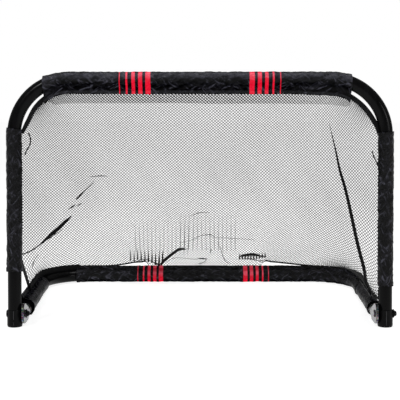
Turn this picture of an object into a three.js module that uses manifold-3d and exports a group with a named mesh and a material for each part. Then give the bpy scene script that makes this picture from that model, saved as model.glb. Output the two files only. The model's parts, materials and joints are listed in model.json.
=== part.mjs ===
/**
 * A folding ball-hockey goal: two U-shaped frames of round steel tube, hinged to each other at the
 * feet of the goal posts, with fabric sleeves round the tubes and a fine mesh net between them.
 *
 * Millimetres, +Z up, X across the mouth and +Y towards the back. The origin ends up under the
 * middle of the whole goal, on the ground.
 */
import * as THREE from 'three';
import { ConvexGeometry } from 'three/addons/geometries/ConvexGeometry.js';
import { mergeVertices } from 'three/addons/utils/BufferGeometryUtils.js';
import Module from 'manifold-3d';

const wasm = await Module();
wasm.setup();

const degrees = THREE.MathUtils.degToRad;
const LEFT = -1;
const RIGHT = 1;
const GAP = 0.3; // between two pieces that touch on the real goal

// Steel tube, the same in both frames
const TUBE_RADIUS = 16;
const TUBE_WALL = 1;
const SLEEVE_WALL = 2.2;
const SLEEVE_RADIUS = TUBE_RADIUS + GAP + SLEEVE_WALL;
const JOINT_X = 230; // where the bent tubes meet the straight bars
const JOINER_LENGTH = 110;

// Front frame: posts and crossbar, leaning back a little
const FRONT_HALF_WIDTH = 434; // to the middle of the post
const FRONT_BEND = 130;
const FRONT_HEIGHT = 577.7; // from the ground to the middle of the crossbar, along the post
const LEAN = degrees(4.6);

// Ground frame: two arms and the rear bar, flat on the ground
const REAR_HALF_WIDTH = 436;
const REAR_BEND = 125;
const DEPTH = 570; // from the post's foot to the middle of the rear bar
const ARM_START_Y = 100;
const TOE_IN = degrees(1.44); // the arms run together towards the hinge

// Fabric: where each sleeve starts and ends, and the flaps that the net is sewn to
const CROSSBAR_SLEEVE_WRAP = { left: 28, right: 22 }; // degrees round each bend
const CROSSBAR_FLAP = 21;
const REAR_FLAP = 8;
const FLAP_THICKNESS = 3;
const POST_SLEEVE = { left: [100, 469], right: [62, 457] }; // heights along the post
const ARM_SLEEVE_FRONT_Y = { left: 124, right: 114 };
const LEFT_ARM_SLEEVE_BACK_Y = 432;
const RIGHT_ARM_SLEEVE_BACK_Y = 357;
const LEFT_REAR_SLEEVE_WRAP = 20; // degrees
const TAPE_WIDTH = 12;
const TAPE_THICKNESS = 2;
const CORNER_TAPE_INSET = 29; // from the middle of the tube to the middle of the tape
const FRONT_TAPE_SPAN = [32, 78]; // degrees round the bend, from the crossbar
const REAR_TAPE_SPAN = [22, 84];

// Foot cap, a plastic cup on the end of the post
const CAP_RADIUS = 17.75;
const CAP_HEIGHT = 39;
const CAP_FLOOR = 5;
const CAP_EDGE = 0.8; // chamfer of the rim
const CAP_TOE = [[0, -2.5], [14.6, -2.5], [16.9, 0.4]]; // [radius, height], before the ground trims it
const CAP_TOE_HEIGHT = 4;

// Hinge: a bolt through post, cap and the flattened end of a lug that plugs into the arm
const PIVOT_HEIGHT = 30; // along the post
const BOLT_RADIUS = 4;
const BOLT_HOLE_RADIUS = 4.3;
const BOLT_HEAD_RADIUS = 8.5;
const BOLT_HEAD_HEIGHT = 1.6;
const WASHER_RADIUS = 9;
const WASHER_THICKNESS = 1.1;
const NUT_FLANGE_RADIUS = 10;
const NUT_FLANGE_THICKNESS = 2;
const NUT_DOME_RADIUS = 7.2;
const NUT_HEIGHT = 9;
const NUT_BORE_DEPTH = 6;
const LUG_HALF_HEIGHT = 23.5;
const LUG_THICKNESS = 5;
const LUG_ROUND_FROM = degrees(65); // where the plate's sloping top meets its round front
const LUG_PLATE_BACK_Y = 48;
const LUG_PLATE_BACK_TOP = 36; // the plate is lower here, so that the folded post clears it
const LUG_COLLAR_FRONT_Y = 93;
const LUG_NECK_RADIUS = TUBE_RADIUS - 1.5;
const LUG_NECK_STEP = 0.4; // how much slimmer than the plate the neck starts
const LUG_OVERLAP = 2; // how far the lug's own solids reach into each other
const SPIGOT_LENGTH = 50;
const SPIGOT_WALL = 2;

// Net
const NET_THICKNESS = 1.2;
const NET_HALF_WIDTH = 403;
const NET_CORNER = 100; // radius of the back panel's corners
const SIDE_PANEL_X = 408;
const SIDE_PANEL_TOP = 455;
const SIDE_PANEL_CORNER = { width: 30, top: 75 }; // cut off at the hinge
const SIDE_PANEL_PAST_BEND = 50; // how far it goes past the start of the rear bend
const SIDE_PANEL_CLEARANCE = { post: 2, arm: 3, backPanel: 6 };
const SEAM_TAPE_X = 394;
const SEAM_TAPE_WIDTH = 10;
const HEM_TAPE_WIDTH = 8;
const HEM_TAPE_LENGTH = 600;

const RING_SEGMENTS = 10; // an arc gets two steps for each, so a full circle has 20
const SMALL_SEGMENTS = 24;
const BEND_STEP = degrees(11.5);

const blackSteel = new THREE.MeshStandardMaterial({ color: 0x0c0c0e, roughness: 0.22, metalness: 0.4 });
const zincSteel = new THREE.MeshStandardMaterial({ color: 0xa9abac, roughness: 0.35, metalness: 0.9 });
const bareSteel = new THREE.MeshStandardMaterial({ color: 0x8c8c8e, roughness: 0.5, metalness: 0.9 });
const blackPlastic = new THREE.MeshStandardMaterial({ color: 0x141416, roughness: 0.45, metalness: 0 });
const sleeveFabric = new THREE.MeshStandardMaterial({ color: 0x17171b, roughness: 0.8, metalness: 0 });
const webbing = new THREE.MeshStandardMaterial({ color: 0x101012, roughness: 0.85, metalness: 0 });
const netMesh = new THREE.MeshStandardMaterial({ color: 0x2a2a2c, roughness: 0.9, metalness: 0 });

/**
 * The middle line of a U-shaped frame, lying in the XY plane: the bar runs along X at y = 0 and the
 * legs run towards -Y. A place on it is its distance along the line from the middle of the bar.
 */
class UFrame {
  constructor(halfWidth, bendRadius, toeIn = 0) {
    this.radius = bendRadius;
    this.halfBar = halfWidth - bendRadius;
    this.turn = Math.PI / 2 + toeIn;
    this.bendEnd = this.halfBar + bendRadius * this.turn;
    this.bendSteps = Math.ceil(this.turn / BEND_STEP);
  }

  onBend(angle) {
    return this.halfBar + this.radius * angle;
  }

  /** The place on a leg whose point is this far from the bar's middle line. */
  onLeg(down) {
    const bendDepth = this.radius * (1 - Math.cos(this.turn));
    return this.bendEnd + (down - bendDepth) / Math.sin(this.turn);
  }

  /** The point at an angle round the right-hand bend. */
  bendPoint(angle) {
    return new THREE.Vector3(
      this.halfBar + this.radius * Math.sin(angle), -this.radius * (1 - Math.cos(angle)), 0);
  }

  /** How far round its bend a place is. */
  angle(place) {
    return THREE.MathUtils.clamp((Math.abs(place) - this.halfBar) / this.radius, 0, this.turn);
  }

  /** Every piece on a bend follows the same chords, so that sleeves and joiners fit their tubes. */
  point(place, target = new THREE.Vector3()) {
    const side = Math.sign(place) || 1;
    const steps = this.angle(place) / this.turn * this.bendSteps;
    const step = Math.min(Math.floor(steps), this.bendSteps - 1);
    const stepAngle = this.turn / this.bendSteps;
    const leg = Math.max(Math.abs(place) - this.bendEnd, 0);
    target.lerpVectors(
      this.bendPoint(step * stepAngle), this.bendPoint((step + 1) * stepAngle), steps - step);
    target.x += Math.min(Math.abs(place) - this.halfBar, 0) + leg * Math.cos(this.turn);
    target.y -= leg * Math.sin(this.turn);
    target.x *= side;
    return target;
  }

  direction(place, target = new THREE.Vector3()) {
    const angle = this.angle(place);
    return target.set(Math.cos(angle), -Math.sign(place) * Math.sin(angle), 0);
  }

  /** A smaller frame for a tape inside the bends, once it is moved in by the same distance. */
  inset(distance) {
    return new UFrame(this.halfBar + this.radius - distance, this.radius - distance,
      this.turn - Math.PI / 2);
  }

  /** Ends of the straight runs and steps round the bends, between two places. */
  stations(from, to) {
    const places = [from, to];
    for (let i = 0; i <= this.bendSteps; i++) {
      const place = this.onBend(this.turn * i / this.bendSteps);
      places.push(place, -place);
    }
    return places.filter((place) => place >= from && place <= to).sort((a, b) => a - b);
  }
}

/** The stretch of a frame between two places, with one step from each station to the next. */
class Stretch extends THREE.Curve {
  constructor(frame, from, to) {
    super();
    this.frame = frame;
    this.places = frame.stations(from, to);
    this.steps = this.places.length - 1;
  }

  place(t) {
    const step = Math.min(Math.floor(t * this.steps), this.steps - 1);
    const share = t * this.steps - step;
    return THREE.MathUtils.lerp(this.places[step], this.places[step + 1], share);
  }

  getPoint(t, target) {
    return this.frame.point(this.place(t), target);
  }

  getTangent(t, target) {
    return this.frame.direction(this.place(t), target);
  }

  getUtoTmapping(u) {
    return u;
  }
}

const frontFrame = new UFrame(FRONT_HALF_WIDTH, FRONT_BEND);
const groundFrame = new UFrame(REAR_HALF_WIDTH, REAR_BEND, TOE_IN);

const onPost = (height) => frontFrame.onLeg(FRONT_HEIGHT - height);
const onArm = (y) => groundFrame.onLeg(DEPTH - y);

/** A stretch given for the right half, or its mirror image on the left. */
function sided(side, near, far) {
  return side === RIGHT ? [near, far] : [-far, -near];
}

// ---------- sections ----------

function disc(radius) {
  return new THREE.Shape().absarc(0, 0, radius, 0, Math.PI * 2);
}

function ring(outer, inner) {
  const shape = disc(outer);
  shape.holes.push(new THREE.Path().absarc(0, 0, inner, 0, Math.PI * 2, true));
  return shape;
}

/** A sleeve's section: a ring with a flat flap hanging off it in the direction of an angle. */
function ringWithFlap(outer, inner, flap, angle) {
  const halfFlap = FLAP_THICKNESS / 2;
  const spread = Math.asin(halfFlap / outer);
  const out = new THREE.Vector2(Math.cos(angle), Math.sin(angle));
  const across = new THREE.Vector2(-out.y, out.x);
  const tip = out.clone().multiplyScalar(outer + flap);
  const firstCorner = tip.clone().addScaledVector(across, -halfFlap);
  const lastCorner = tip.clone().addScaledVector(across, halfFlap);
  const shape = new THREE.Shape().absarc(0, 0, outer, angle + spread, angle - spread + Math.PI * 2);
  shape.lineTo(firstCorner.x, firstCorner.y);
  shape.lineTo(lastCorner.x, lastCorner.y);
  shape.holes.push(new THREE.Path().absarc(0, 0, inner, 0, Math.PI * 2, true));
  return shape;
}

function rectangle(width, height, x = 0, y = 0) {
  const shape = new THREE.Shape();
  shape.moveTo(x - width / 2, y - height / 2);
  shape.lineTo(x + width / 2, y - height / 2);
  shape.lineTo(x + width / 2, y + height / 2);
  shape.lineTo(x - width / 2, y + height / 2);
  return shape;
}

// ---------- solids ----------

/** Sweeps a section along a frame. Its x points behind or below the frame, its y away from it. */
function sweep(frame, [from, to], section) {
  const path = new Stretch(frame, from, to);
  return new THREE.ExtrudeGeometry(section, {
    steps: path.steps, extrudePath: path, curveSegments: RING_SEGMENTS,
  });
}

function slab(outline, thickness) {
  const geometry = new THREE.ExtrudeGeometry(outline, {
    depth: thickness, bevelEnabled: false, curveSegments: 6,
  });
  return geometry.translate(0, 0, -thickness / 2);
}

/** A cylinder along X, or a turned profile of [radius, x] points given from axis to axis. */
function rodAlongX(radius, from, to, segments = SMALL_SEGMENTS) {
  return new THREE.CylinderGeometry(radius, radius, to - from, segments)
    .rotateZ(-Math.PI / 2).translate((from + to) / 2, 0, 0);
}

function turnedAlongX(profile) {
  const points = profile.map(([radius, x]) => new THREE.Vector2(radius, x));
  return new THREE.LatheGeometry(points, SMALL_SEGMENTS).rotateZ(-Math.PI / 2);
}

function toManifold(geometry) {
  const bare = geometry.clone();
  for (const name of Object.keys(bare.attributes)) {
    if (name !== 'position') bare.deleteAttribute(name);
  }
  const merged = mergeVertices(bare, 1e-4);
  return new wasm.Manifold(new wasm.Mesh({
    numProp: 3,
    vertProperties: new Float32Array(merged.attributes.position.array),
    triVerts: new Uint32Array(merged.index.array),
  }));
}

function toGeometry(solid) {
  const mesh = solid.getMesh();
  const geometry = new THREE.BufferGeometry();
  geometry.setAttribute('position', new THREE.BufferAttribute(mesh.vertProperties, 3));
  geometry.setIndex(new THREE.BufferAttribute(mesh.triVerts, 1));
  geometry.computeVertexNormals();
  return geometry;
}

function cut(geometry, ...tools) {
  const solid = tools.reduce((rest, tool) => rest.subtract(toManifold(tool)), toManifold(geometry));
  return toGeometry(solid);
}

function join(first, ...others) {
  const solid = others.reduce((sum, other) => sum.add(toManifold(other)), toManifold(first));
  return toGeometry(solid);
}

function piece(parent, name, geometry, material) {
  const mesh = new THREE.Mesh(geometry, material);
  mesh.name = name;
  parent.add(mesh);
  return mesh;
}

const sideName = (side) => (side === LEFT ? 'left' : 'right');

// ---------- front frame ----------

const goal = new THREE.Group();

/** Leans back with the posts; its Z runs up the post from the middle of the foot. */
const front = new THREE.Group();
front.rotation.x = -LEAN;
goal.add(front);

/** Holds what is swept along the front frame, whose own plane stands upright. */
const frontPlane = new THREE.Group();
frontPlane.rotation.x = Math.PI / 2;
frontPlane.position.z = FRONT_HEIGHT;
front.add(frontPlane);

const groundPlane = new THREE.Group();
groundPlane.position.set(0, DEPTH, SLEEVE_RADIUS);
goal.add(groundPlane);

const tubeSection = ring(TUBE_RADIUS, TUBE_RADIUS - TUBE_WALL);
const sleeveSection = ring(SLEEVE_RADIUS, TUBE_RADIUS + GAP);
const joinerRadius = TUBE_RADIUS - TUBE_WALL - GAP;
const joinerSection = ring(joinerRadius, joinerRadius - TUBE_WALL);

/** The two bent tubes, the straight bar between them and the joiners inside, for one frame. */
function frameTubes(parent, frame, endPlace, bentName, barName) {
  for (const side of [LEFT, RIGHT]) {
    const stretch = sided(side, JOINT_X + GAP / 2, endPlace);
    const tube = sweep(frame, stretch, tubeSection);
    piece(parent, `${sideName(side)}_${bentName}_tube`, tube, blackSteel);
    const half = JOINER_LENGTH / 2;
    const joiner = sweep(frame, sided(side, JOINT_X - half, JOINT_X + half), joinerSection);
    piece(parent, `${sideName(side)}_${barName}_joiner`, joiner, bareSteel);
  }
  const reach = JOINT_X - GAP / 2;
  piece(parent, `${barName}_tube`, sweep(frame, [-reach, reach], tubeSection), blackSteel);
}

frameTubes(frontPlane, frontFrame, onPost(CAP_FLOOR + GAP), 'post', 'crossbar');
frameTubes(groundPlane, groundFrame, onArm(ARM_START_Y), 'arm', 'rear_bar');

// The post tubes are drilled for the hinge bolts
for (const side of [LEFT, RIGHT]) {
  const tube = frontPlane.getObjectByName(`${sideName(side)}_post_tube`);
  const drill = rodAlongX(BOLT_HOLE_RADIUS, -TUBE_RADIUS * 2, TUBE_RADIUS * 2)
    .translate(side * FRONT_HALF_WIDTH, PIVOT_HEIGHT - FRONT_HEIGHT, 0);
  tube.geometry = cut(tube.geometry, drill);
}

function footCap(side) {
  const inside = TUBE_RADIUS + GAP;
  const profile = [
    ...CAP_TOE, [CAP_RADIUS, CAP_TOE_HEIGHT],
    [CAP_RADIUS, CAP_HEIGHT - CAP_EDGE], [CAP_RADIUS - CAP_EDGE, CAP_HEIGHT],
    [inside, CAP_HEIGHT], [inside, CAP_FLOOR], [0, CAP_FLOOR],
  ].map(([radius, height]) => new THREE.Vector2(radius, height));
  const cup = new THREE.LatheGeometry(profile, 2 * SMALL_SEGMENTS).rotateX(Math.PI / 2);
  const belowGround = new THREE.BoxGeometry(4 * CAP_RADIUS, 4 * CAP_RADIUS, CAP_RADIUS)
    .translate(0, 0, -CAP_RADIUS / 2).rotateX(LEAN);
  const drill = rodAlongX(BOLT_HOLE_RADIUS, -2 * CAP_RADIUS, 2 * CAP_RADIUS)
    .translate(0, 0, PIVOT_HEIGHT);
  const cap = piece(front, `${sideName(side)}_foot_cap`, cut(cup, belowGround, drill), blackPlastic);
  cap.position.x = side * FRONT_HALF_WIDTH;
}

/**
 * One hinge's fasteners on the bolt's own axis, with x = 0 in the middle of the post. Both bolts go
 * in from the same side of the goal, so on the right the head is on the inside of the post.
 */
function hingeFasteners(side) {
  const name = sideName(side);
  const hinge = new THREE.Group();
  hinge.position.set(side * FRONT_HALF_WIDTH, 0, PIVOT_HEIGHT);
  front.add(hinge);
  const inner = -side; // towards the middle of the goal
  const addRing = (label, near) => {
    const from = inner * near;
    const to = inner * (near + WASHER_THICKNESS);
    const washer = slab(ring(WASHER_RADIUS, BOLT_HOLE_RADIUS), WASHER_THICKNESS)
      .rotateY(Math.PI / 2).translate((from + to) / 2, 0, 0);
    piece(hinge, `${name}_${label}`, washer, zincSteel);
  };
  const spacerAt = CAP_RADIUS + GAP;
  const lugAt = spacerAt + WASHER_THICKNESS + GAP;
  const outerWasherAt = lugAt + LUG_THICKNESS + GAP;
  const stackEnd = outerWasherAt + WASHER_THICKNESS + GAP;
  addRing('hinge_spacer', spacerAt);
  addRing('hinge_washer', outerWasherAt);

  // Both bolts point along +x, from the underside of the head to the seat of the nut
  const headAt = side === LEFT ? -(CAP_RADIUS + GAP) : -stackEnd;
  const nutAt = side === LEFT ? stackEnd : CAP_RADIUS + GAP;
  const bolt = turnedAlongX([
    [0, headAt - BOLT_HEAD_HEIGHT], [BOLT_HEAD_RADIUS * 0.7, headAt - BOLT_HEAD_HEIGHT],
    [BOLT_HEAD_RADIUS, headAt - BOLT_HEAD_HEIGHT * 0.3], [BOLT_HEAD_RADIUS, headAt],
    [BOLT_RADIUS, headAt], [BOLT_RADIUS, nutAt + NUT_BORE_DEPTH - GAP],
    [0, nutAt + NUT_BORE_DEPTH - GAP],
  ]);
  piece(hinge, `${name}_hinge_bolt`, bolt, zincSteel);

  const domeStart = nutAt + NUT_FLANGE_THICKNESS;
  const nut = turnedAlongX([
    [0, nutAt + NUT_BORE_DEPTH], [BOLT_RADIUS + GAP, nutAt + NUT_BORE_DEPTH],
    [BOLT_RADIUS + GAP, nutAt], [NUT_FLANGE_RADIUS, nutAt], [NUT_FLANGE_RADIUS, domeStart],
    [NUT_DOME_RADIUS, domeStart + 0.8], [NUT_DOME_RADIUS * 0.93, domeStart + 3.4],
    [NUT_DOME_RADIUS * 0.62, nutAt + NUT_HEIGHT - 0.9], [0, nutAt + NUT_HEIGHT],
  ]);
  piece(hinge, `${name}_hinge_cap_nut`, nut, blackPlastic);
  return side * FRONT_HALF_WIDTH + inner * (lugAt + LUG_THICKNESS / 2);
}

// ---------- hinge lug: flattened plate, neck, collar and the spigot inside the arm ----------

const pivot = new THREE.Vector3(0, PIVOT_HEIGHT * Math.sin(LEAN), PIVOT_HEIGHT * Math.cos(LEAN));

function hingeLug(side, plateX) {
  const bottom = pivot.z - LUG_HALF_HEIGHT;
  const outline = new THREE.Shape();
  outline.moveTo(LUG_PLATE_BACK_Y, bottom);
  outline.lineTo(LUG_PLATE_BACK_Y, LUG_PLATE_BACK_TOP);
  outline.absarc(pivot.y, pivot.z, LUG_HALF_HEIGHT, LUG_ROUND_FROM, Math.PI * 3 / 2);
  // The outline's x and y are the goal's y and z
  const plate = slab(outline, LUG_THICKNESS)
    .applyMatrix4(new THREE.Matrix4().makeBasis(
      new THREE.Vector3(0, 1, 0), new THREE.Vector3(0, 0, 1), new THREE.Vector3(1, 0, 0)))
    .translate(plateX, 0, 0);

  const toGoal = (geometry) => geometry.translate(0, DEPTH, SLEEVE_RADIUS);
  const collarMiddle = groundFrame.point(side * onArm(LUG_COLLAR_FRONT_Y)).add(
    new THREE.Vector3(0, DEPTH, SLEEVE_RADIUS));
  const neckPoints = [];
  const neckHalf = LUG_THICKNESS / 2 - LUG_NECK_STEP;
  for (const x of [plateX - neckHalf, plateX + neckHalf]) {
    for (const z of [bottom + LUG_NECK_STEP, LUG_PLATE_BACK_TOP - LUG_NECK_STEP]) {
      neckPoints.push(new THREE.Vector3(x, LUG_PLATE_BACK_Y - LUG_OVERLAP, z));
    }
  }
  for (let i = 0; i < 2 * RING_SEGMENTS; i++) {
    const angle = Math.PI * i / RING_SEGMENTS;
    neckPoints.push(new THREE.Vector3(Math.cos(angle), 0, Math.sin(angle))
      .multiplyScalar(LUG_NECK_RADIUS).add(new THREE.Vector3(0, LUG_OVERLAP, 0)).add(collarMiddle));
  }
  const neck = new ConvexGeometry(neckPoints);

  const armEnd = onArm(ARM_START_Y) + GAP;
  const collar = toGoal(sweep(groundFrame, sided(side, armEnd, onArm(LUG_COLLAR_FRONT_Y)),
    disc(TUBE_RADIUS)));
  const spigot = toGoal(sweep(groundFrame, sided(side, armEnd - SPIGOT_LENGTH, armEnd + LUG_OVERLAP),
    ring(joinerRadius, joinerRadius - SPIGOT_WALL)));
  const drill = rodAlongX(BOLT_HOLE_RADIUS, -LUG_THICKNESS, LUG_THICKNESS)
    .translate(plateX, pivot.y, pivot.z);
  const lug = cut(join(plate, neck, collar, spigot), drill);
  piece(goal, `${sideName(side)}_hinge_lug`, lug, zincSteel);
}

for (const side of [LEFT, RIGHT]) {
  footCap(side);
  hingeLug(side, hingeFasteners(side));
}

// ---------- sleeves and tapes ----------

const INWARDS = -Math.PI / 2; // the section's direction from a bar towards the inside of its U
const UP_AND_INWARDS = -Math.PI * 3 / 4;

const crossbarSleeve = sweep(frontFrame, [
  -frontFrame.onBend(degrees(CROSSBAR_SLEEVE_WRAP.left)),
  frontFrame.onBend(degrees(CROSSBAR_SLEEVE_WRAP.right)),
], ringWithFlap(SLEEVE_RADIUS, TUBE_RADIUS + GAP, CROSSBAR_FLAP, INWARDS));
piece(frontPlane, 'crossbar_sleeve', crossbarSleeve, sleeveFabric);

const rearSleeve = sweep(groundFrame, [
  -groundFrame.onBend(degrees(LEFT_REAR_SLEEVE_WRAP)), onArm(RIGHT_ARM_SLEEVE_BACK_Y + GAP),
], ringWithFlap(SLEEVE_RADIUS, TUBE_RADIUS + GAP, REAR_FLAP, UP_AND_INWARDS));
piece(groundPlane, 'rear_bar_sleeve', rearSleeve, sleeveFabric);

for (const side of [LEFT, RIGHT]) {
  const name = sideName(side);
  const [low, high] = POST_SLEEVE[name];
  const postSleeve = sweep(frontFrame, sided(side, onPost(high), onPost(low)), sleeveSection);
  piece(frontPlane, `${name}_post_sleeve`, postSleeve, sleeveFabric);

  const armBackY = side === LEFT ? LEFT_ARM_SLEEVE_BACK_Y : RIGHT_ARM_SLEEVE_BACK_Y;
  const armStretch = sided(side, onArm(armBackY), onArm(ARM_SLEEVE_FRONT_Y[name]));
  piece(groundPlane, `${name}_arm_sleeve`, sweep(groundFrame, armStretch, sleeveSection), sleeveFabric);

  const tapePath = frontFrame.inset(CORNER_TAPE_INSET);
  const tapeStretch = FRONT_TAPE_SPAN.map((angle) => tapePath.onBend(degrees(angle)));
  const tape = sweep(tapePath, sided(side, ...tapeStretch), rectangle(TAPE_THICKNESS, TAPE_WIDTH));
  piece(frontPlane, `${name}_top_corner_tape`, tape, webbing).position.y = -CORNER_TAPE_INSET;
}

// The bare rear bend on the left has its own binding, standing on top of the tube
const rearTapeStretch = REAR_TAPE_SPAN.map((angle) => groundFrame.onBend(degrees(angle)));
const rearTapeRise = TUBE_RADIUS + GAP + REAR_FLAP / 2;
const rearTape = sweep(groundFrame, sided(LEFT, ...rearTapeStretch),
  rectangle(REAR_FLAP, TAPE_THICKNESS, -rearTapeRise, 0));
piece(groundPlane, 'left_rear_corner_tape', rearTape, webbing);

// ---------- net ----------

// Top and bottom edges of the back panel, as distances back and up in the goal
const flapLength = SLEEVE_RADIUS + CROSSBAR_FLAP;
const netTop = new THREE.Vector2(
  (FRONT_HEIGHT - flapLength) * Math.sin(LEAN) + FLAP_THICKNESS,
  (FRONT_HEIGHT - flapLength) * Math.cos(LEAN) - FLAP_THICKNESS);
const rearFlapReach = (SLEEVE_RADIUS + REAR_FLAP + FLAP_THICKNESS) * Math.SQRT1_2;
const netBottom = new THREE.Vector2(DEPTH - rearFlapReach, SLEEVE_RADIUS + rearFlapReach);
const netLength = netTop.distanceTo(netBottom);

/** The back panel's plane: x across, y up the slope from the rear bar, z into the goal. */
const netPlane = new THREE.Group();
netPlane.position.set(0, netBottom.x, netBottom.y);
netPlane.rotation.x = Math.atan2(netTop.y - netBottom.y, netTop.x - netBottom.x);
goal.add(netPlane);

function roundedPanel(halfWidth, length, radius) {
  const shape = new THREE.Shape();
  shape.moveTo(-halfWidth + radius, 0);
  shape.lineTo(halfWidth - radius, 0);
  shape.absarc(halfWidth - radius, radius, radius, -Math.PI / 2, 0);
  shape.absarc(halfWidth - radius, length - radius, radius, 0, Math.PI / 2);
  shape.absarc(-halfWidth + radius, length - radius, radius, Math.PI / 2, Math.PI);
  shape.absarc(-halfWidth + radius, radius, radius, Math.PI, Math.PI * 1.5);
  return shape;
}

const backPanel = slab(roundedPanel(NET_HALF_WIDTH, netLength, NET_CORNER), NET_THICKNESS);
piece(netPlane, 'net_back_panel', backPanel, netMesh);

const tapeLift = -(NET_THICKNESS + TAPE_THICKNESS) / 2 - GAP;
for (const side of [LEFT, RIGHT]) {
  const seam = slab(rectangle(SEAM_TAPE_WIDTH, netLength - 2 * NET_CORNER), TAPE_THICKNESS);
  const mesh = piece(netPlane, `${sideName(side)}_net_seam_tape`, seam, webbing);
  mesh.position.set(side * SEAM_TAPE_X, netLength / 2, tapeLift);
}
const hem = slab(rectangle(HEM_TAPE_LENGTH, HEM_TAPE_WIDTH), TAPE_THICKNESS);
piece(netPlane, 'net_hem_tape', hem, webbing).position.set(0, HEM_TAPE_WIDTH, tapeLift);

/** A side panel fills the triangle between post, arm and the edge of the back panel. */
function sidePanel(side) {
  const clearance = SIDE_PANEL_CLEARANCE;
  const postBack = (z) => z * Math.tan(LEAN) + SLEEVE_RADIUS + clearance.post;
  const slope = (netBottom.x - netTop.x) / (netTop.y - netBottom.y);
  const panelBack = (z) => netTop.x + (netTop.y - z) * slope - clearance.backPanel;
  const low = 2 * SLEEVE_RADIUS + clearance.arm;
  const rearmost = DEPTH - REAR_BEND + SIDE_PANEL_PAST_BEND;
  const rearTop = netTop.y - (rearmost + clearance.backPanel - netTop.x) / slope;
  const corner = SIDE_PANEL_CORNER;
  const outline = new THREE.Shape();
  outline.moveTo(postBack(corner.top) + corner.width, low);
  outline.lineTo(rearmost, low);
  outline.lineTo(rearmost, rearTop);
  outline.lineTo(panelBack(SIDE_PANEL_TOP), SIDE_PANEL_TOP);
  outline.lineTo(postBack(SIDE_PANEL_TOP), SIDE_PANEL_TOP);
  outline.lineTo(postBack(corner.top), corner.top);
  const panel = slab(outline, NET_THICKNESS).applyMatrix4(new THREE.Matrix4().makeBasis(
    new THREE.Vector3(0, 1, 0), new THREE.Vector3(0, 0, 1), new THREE.Vector3(1, 0, 0)));
  piece(goal, `${sideName(side)}_net_side_panel`, panel, netMesh).position.x = side * SIDE_PANEL_X;
}

sidePanel(LEFT);
sidePanel(RIGHT);

// The origin goes under the middle of the goal's box
const box = new THREE.Box3().setFromObject(goal, true);
const middle = box.getCenter(new THREE.Vector3());
goal.position.set(-middle.x, -middle.y, 0);

export default goal;
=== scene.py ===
"""A folding mini goal: its finished surfaces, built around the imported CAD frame.

Metres, +Z up, X across the mouth and +Y towards the back of the goal.
"""
import json
import math

import bmesh
import bpy
import numpy as np
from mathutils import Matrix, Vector, noise


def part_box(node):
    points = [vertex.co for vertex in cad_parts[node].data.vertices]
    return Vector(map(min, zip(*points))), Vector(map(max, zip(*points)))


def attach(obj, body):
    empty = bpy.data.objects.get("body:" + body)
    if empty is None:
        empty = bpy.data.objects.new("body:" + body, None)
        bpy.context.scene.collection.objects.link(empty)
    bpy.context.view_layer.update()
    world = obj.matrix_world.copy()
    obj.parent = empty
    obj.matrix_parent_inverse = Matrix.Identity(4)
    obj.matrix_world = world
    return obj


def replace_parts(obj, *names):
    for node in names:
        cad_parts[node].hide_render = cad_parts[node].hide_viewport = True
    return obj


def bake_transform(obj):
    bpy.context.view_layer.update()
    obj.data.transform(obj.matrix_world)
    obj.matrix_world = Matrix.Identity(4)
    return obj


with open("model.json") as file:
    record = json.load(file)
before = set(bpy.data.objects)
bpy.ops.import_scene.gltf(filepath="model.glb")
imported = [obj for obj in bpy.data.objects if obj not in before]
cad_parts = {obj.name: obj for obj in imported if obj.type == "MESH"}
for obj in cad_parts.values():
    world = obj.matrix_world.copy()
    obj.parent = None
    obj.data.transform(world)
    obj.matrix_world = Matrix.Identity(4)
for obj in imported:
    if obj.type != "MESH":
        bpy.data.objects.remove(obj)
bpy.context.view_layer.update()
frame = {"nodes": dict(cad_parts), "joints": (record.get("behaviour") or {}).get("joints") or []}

LEFT, RIGHT = -1, 1
SIDE_NAMES = {LEFT: "left", RIGHT: "right"}
X_AXIS, Y_AXIS, Z_AXIS = np.eye(3)


# ---------- sizes and places, from the frame where it has them ----------

def box_of(node):
    low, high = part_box(node)
    return np.array(low), np.array(high)


def centre_of(node):
    low, high = box_of(node)
    return (low + high) / 2


HINGE = np.array(frame["joints"][0]["pos_m"])
REAR_BAR = centre_of("rear_bar_tube")
CROSSBAR = centre_of("crossbar_tube")
MIDDLE_X = CROSSBAR[0]
TUBE_RADIUS = (box_of("rear_bar_tube")[1] - REAR_BAR)[2]
TUBE_WALL = 0.001
POST_AXIS = (CROSSBAR - HINGE) * (0, 1, 1)
POST_AXIS /= np.linalg.norm(POST_AXIS)
PIVOT_HEIGHT = HINGE[2] / POST_AXIS[2]  # along the post
FOOT = HINGE - PIVOT_HEIGHT * POST_AXIS
FOOT[0] = MIDDLE_X
BACKWARDS = np.array((0, POST_AXIS[2], -POST_AXIS[1]))  # square to the front frame's plane
FRONT_LENGTH = float(np.linalg.norm(CROSSBAR - FOOT))
FRONT_HALF_WIDTH = box_of("right_post_tube")[1][0] - TUBE_RADIUS - MIDDLE_X
REAR_HALF_WIDTH = box_of("right_arm_tube")[1][0] - TUBE_RADIUS - MIDDLE_X
FRONT_BEND, REAR_BEND = 0.130, 0.125  # radii of the frames' bends, to the tube's middle
TOE_IN = math.radians(1.44)  # how far each arm turns past square to the rear bar


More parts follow.
